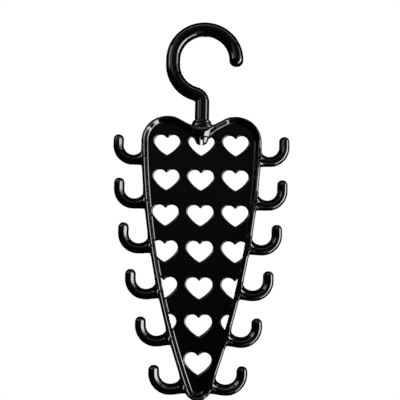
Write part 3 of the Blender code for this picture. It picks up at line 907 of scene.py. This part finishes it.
def prong_section(radius):
    """The right-hand prong's section: round outside with a flat face, round corners along the slot."""
    wall = SLOT_WIDTH / 2
    rounding = min(PRONG_ROUND, PRONG_ROUND_SHARE * (radius - wall))
    turn = math.acos((wall + rounding) / radius)
    half = []
    for index in range(PRONG_STEPS + 1):
        angle = turn * index / PRONG_STEPS
        reach = radius * faced(angle)
        half.append((reach * math.cos(angle), reach * math.sin(angle)))
    corner_y = half[-1][1]
    half += bend(half[-1], (wall, corner_y), (wall, corner_y - rounding), PRONG_CORNER_STEPS)[1:]
    half.append((wall, 0.0))
    return half + [(x, -y) for x, y in reversed(half[1:-1])]


shoulder, spigot, barb = SHOULDER_DIAMETER / 2, SPIGOT_DIAMETER / 2, BARB_DIAMETER / 2
slot_end_z = BARB_TIP_Z + SLOT_LENGTH
profile = [(spigot, slot_end_z), (spigot, shoulder_base_z)]
low = (shoulder - SHOULDER_EDGE, shoulder_base_z + SHOULDER_EDGE)
high = (shoulder - SHOULDER_ROUND, shoulder_top_z - SHOULDER_ROUND)
profile += arc(low, SHOULDER_EDGE, -RIGHT_ANGLE, 0.0, SHOULDER_EDGE_STEP)
profile += arc(high, SHOULDER_ROUND, 0.0, RIGHT_ANGLE, SHOULDER_ROUND_STEP)
combine(rail_hook, "UNION", turned("shoulder and spigot", profile, hook_plastic))
flat, turn = (TIP_FLAT_SHARE * barb, BARB_TIP_Z), (TIP_TURN_SHARE * barb, BARB_TIP_Z)
wide = (TIP_WIDE_SHARE * barb, BARB_TIP_Z + TIP_RISE_SHARE * BARB_LENGTH)
bulge, catch = (barb, BARB_TIP_Z + BULGE_SHARE * BARB_LENGTH), (barb, BARB_TOP_Z - CATCH_CHAMFER)
prong_side = bend(flat, turn, wide, TIP_STEPS) + bend(wide, bulge, catch, BARB_STEPS)[1:]
prong_side += [(barb - CATCH_CHAMFER, BARB_TOP_Z), (spigot, BARB_TOP_Z)]
prong_side.append((spigot, slot_end_z + PRONG_OVERLAP))
prong_rings = [[(x, y, height) for x, y in prong_section(radius)] for radius, height in prong_side]
prong = loft("prong", prong_rings, hook_plastic)
combine(rail_hook, "UNION", run_tree(prong, both_sides, material=hook_plastic))
even_shading(rail_hook)
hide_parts("rail_hook")
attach(rail_hook, "hook")

# The studio.
# A white backdrop behind a dim room, and softboxes: an upright one at the right that reaches far
# down and fades upwards, weaker ones high at the left, two behind, a strip overhead and a low fill.
MIDDLE = Vector((0.0, 0.0, -148.8 * MM))  # what the camera and the lights point at
LIGHT_DISTANCE = 1.4
WHITE = (1.0, 1.0, 1.0, 1.0)
ROOM_DIMMEST = 0.002
ROOM_PALEST = 0.09
ROOM_RISE = (-0.15, 0.3)  # the room is dimmest below the first height of a direction, palest above
ROOM_FRONT = (-0.35, -0.85)  # it fades in between these two as a direction turns to the front
scene = bpy.context.scene
scene.view_settings.view_transform = "Standard"
world = bpy.data.worlds.new("studio")
scene.world = world
world.use_nodes = True
air = world.node_tree
backdrop = air.nodes["Background"]
backdrop.inputs["Color"].default_value = WHITE
direction = add_node(air, "ShaderNodeTexCoord")
upright = add_node(air, "ShaderNodeSeparateXYZ")
paler_upwards = add_node(air, "ShaderNodeMapRange", **{
    "From Min": ROOM_RISE[0], "From Max": ROOM_RISE[1], "To Min": ROOM_DIMMEST, "To Max": ROOM_PALEST})
only_in_front = add_node(air, "ShaderNodeMapRange", **{"From Min": ROOM_FRONT[0], "From Max": ROOM_FRONT[1]})
strength = add_node(air, "ShaderNodeMath", operation="MULTIPLY")
dim_room = add_node(air, "ShaderNodeBackground")
seen = add_node(air, "ShaderNodeLightPath")
either = add_node(air, "ShaderNodeMixShader")
air.links.new(direction.outputs["Generated"], upright.inputs["Vector"])
air.links.new(upright.outputs["Z"], paler_upwards.inputs["Value"])
air.links.new(upright.outputs["Y"], only_in_front.inputs["Value"])
air.links.new(paler_upwards.outputs["Result"], strength.inputs[0])
air.links.new(only_in_front.outputs["Result"], strength.inputs[1])
air.links.new(strength.outputs["Value"], dim_room.inputs["Strength"])
air.links.new(seen.outputs["Is Camera Ray"], either.inputs["Fac"])
air.links.new(dim_room.outputs["Background"], either.inputs[1])
air.links.new(backdrop.outputs["Background"], either.inputs[2])
air.links.new(either.outputs["Shader"], air.nodes["World Output"].inputs["Surface"])


def softbox(name, place, towards, width, height, radiance):
    """A rectangular light at a place, facing against a direction and hidden from the camera."""
    lamp = bpy.data.lights.new(name, "AREA")
    lamp.shape = "RECTANGLE"
    lamp.size, lamp.size_y = width, height
    lamp.energy = radiance * math.pi * width * height
    made = bpy.data.objects.new(name, lamp)
    scene.collection.objects.link(made)
    made.location = MIDDLE + place
    made.rotation_euler = towards.to_track_quat("Z", "Y").to_euler()
    made.visible_camera = False


def upright_softbox(name, left, right, low, high, radiance):
    """An upright softbox between two azimuths (0 in front, 90 at the right) and two heights."""
    middle, half = math.radians((left + right) / 2), math.radians((right - left) / 2)
    towards = Vector((math.sin(middle), -math.cos(middle), 0.0))
    place = towards * LIGHT_DISTANCE + Vector((0.0, 0.0, (low + high) / 2))
    softbox(name, place, towards, 2 * LIGHT_DISTANCE * math.tan(half), high - low, radiance)


# Each one's left and right edge in degrees, its lower and upper end in metres, and its radiance.
for name, left, right, low, high, radiance in (
    ("right", 59.0, 83.0, -0.7, 0.2, 15.5),
    ("upper right", 59.0, 83.0, 0.2, 0.46, 12.5),
    ("high right", 59.0, 83.0, 0.46, 0.75, 6.3),
    ("highest right", 59.0, 83.0, 0.75, 1.3, 2.2),
    ("low right", 59.0, 76.0, -2.4, -0.7, 15.5),
    ("left", -71.0, -50.0, 0.58, 1.2, 4.8),
    ("lower left", -71.0, -54.0, 0.47, 0.58, 3.4),
    ("lowest left", -71.0, -59.0, 0.37, 0.47, 2.0),
    ("left front", -42.0, -17.0, 0.42, 1.1, 0.8),
    ("right behind", 167.0, 178.0, -0.6, 1.0, 3.0),
    ("left behind", -178.0, -167.0, -0.6, 1.0, 3.0),
):
    upright_softbox(name, left, right, low, high, radiance)
# Each one's place and the direction that it faces against, its width, height and radiance.
for name, place, towards, width, height, radiance in (
    ("overhead", (0.0, -0.6, 1.15), (0.0, -0.6, 1.0), 1.8, 0.22, 1.9),
    ("floor right", (0.6, -0.85, -0.95), (0.6, -0.85, -0.95), 0.8, 0.7, 0.6),
):
    softbox(name, Vector(place), Vector(towards), width, height, radiance)

# The floor.
# A plain pale disc well below the hanger. It is matt, and the plastic doesn't mirror it, so that
# the hanger's underside stays as dark as in the photograph.
FLOOR_Z = -0.46
FLOOR_RADIUS = 0.62
FLOOR_SIDES = 96
form = bmesh.new()
bmesh.ops.create_circle(form, cap_ends=True, segments=FLOOR_SIDES, radius=FLOOR_RADIUS)
floor = mesh_object("floor", [])
form.to_mesh(floor.data)
form.free()
floor.location.z = FLOOR_Z
floor.visible_glossy = False
matt_paint = bpy.data.materials.new("pale floor")
matt_paint.use_nodes = True
paint = matt_paint.node_tree.nodes["Principled BSDF"]
for socket, value in (
    ("Base Color", (0.8, 0.8, 0.79, 1.0)),
    ("Roughness", 0.8),
    ("Emission Color", (1.0, 1.0, 0.99, 1.0)),
    ("Emission Strength", 0.35),
):
    paint.inputs[socket].default_value = value
floor.data.materials.append(matt_paint)

# The camera.
# Half a metre in front of the hanger and below its middle, looking up at it, with the slight tilt
# of the photograph.
CAMERA_LENS = 54.0
CAMERA_SENSOR = 36.0
CAMERA_PITCH = math.radians(8.5)
CAMERA_ROLL = math.radians(0.95)
CAMERA_DISTANCE = 0.518
CAMERA_ASIDE = -0.5 * MM
camera = bpy.data.objects.new("camera", bpy.data.cameras.new("camera"))
scene.collection.objects.link(camera)
scene.camera = camera
camera.data.lens = CAMERA_LENS
camera.data.sensor_width = CAMERA_SENSOR
behind = Vector((0.0, -math.cos(CAMERA_PITCH), -math.sin(CAMERA_PITCH)))
camera.location = MIDDLE + behind * CAMERA_DISTANCE
camera.location.x = CAMERA_ASIDE
look = Matrix.Rotation(RIGHT_ANGLE + CAMERA_PITCH, 3, "X") @ Matrix.Rotation(CAMERA_ROLL, 3, "Z")
camera.rotation_euler = look.to_euler()
